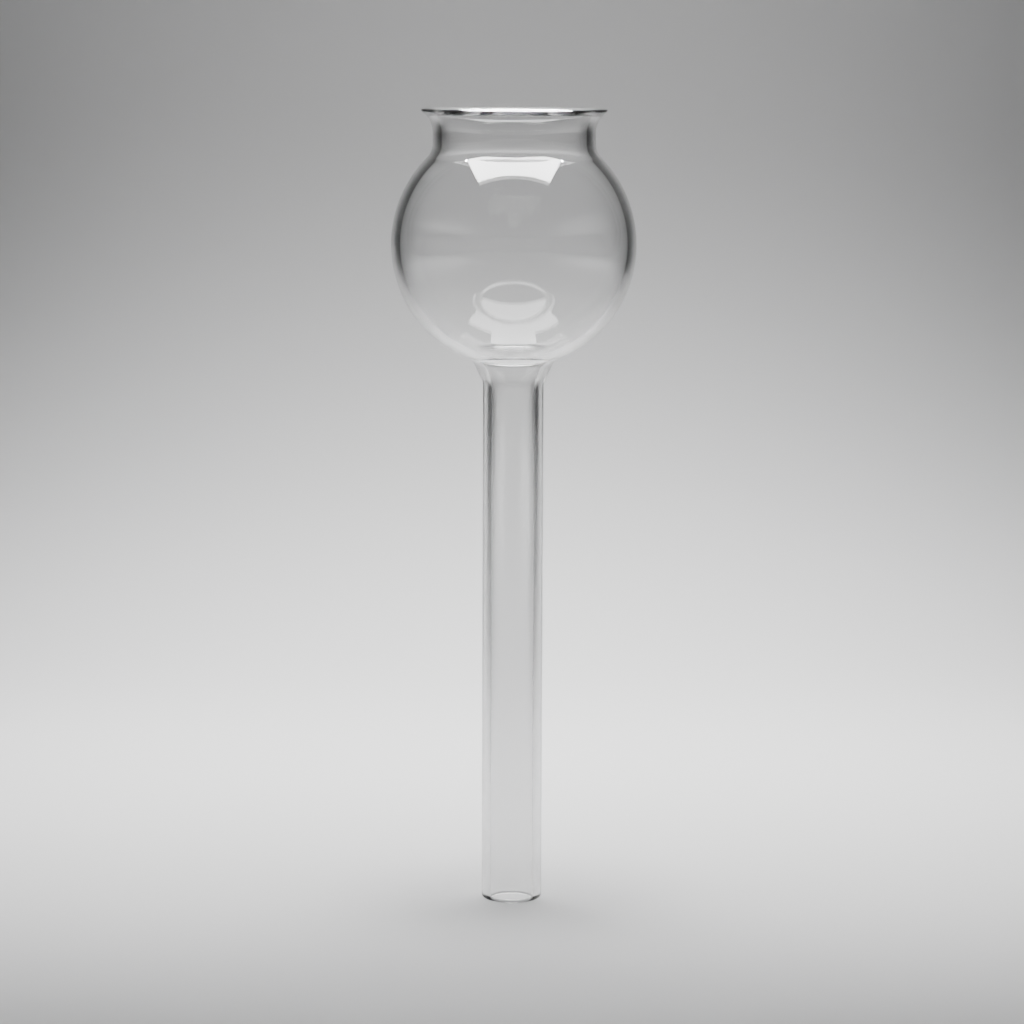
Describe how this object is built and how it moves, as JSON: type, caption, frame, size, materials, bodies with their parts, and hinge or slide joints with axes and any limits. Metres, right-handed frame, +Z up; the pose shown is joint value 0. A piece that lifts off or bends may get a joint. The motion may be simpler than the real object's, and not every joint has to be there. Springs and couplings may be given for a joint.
{
  "type": "thistle funnel",
  "caption": "Clear glass thistle funnel: a round bulb with a short neck and thin flared lip on a straight stem tube, for adding liquid through a stopper.",
  "frame": {"origin": "centre of the stem's square lower end, on the surface it stands on", "axes": "+Z up the funnel's axis from the stem's end to the mouth; it is round, so X and Y may be any pair square to it"},
  "size_m": [0.0402, 0.0402, 0.1313],
  "materials": {
    "clear_glass": "clear polished glass, colourless, fire-polished edges"
  },
  "bodies": {
    "root": {"thistle_funnel": "clear_glass"}
  },
  "joints": []
}
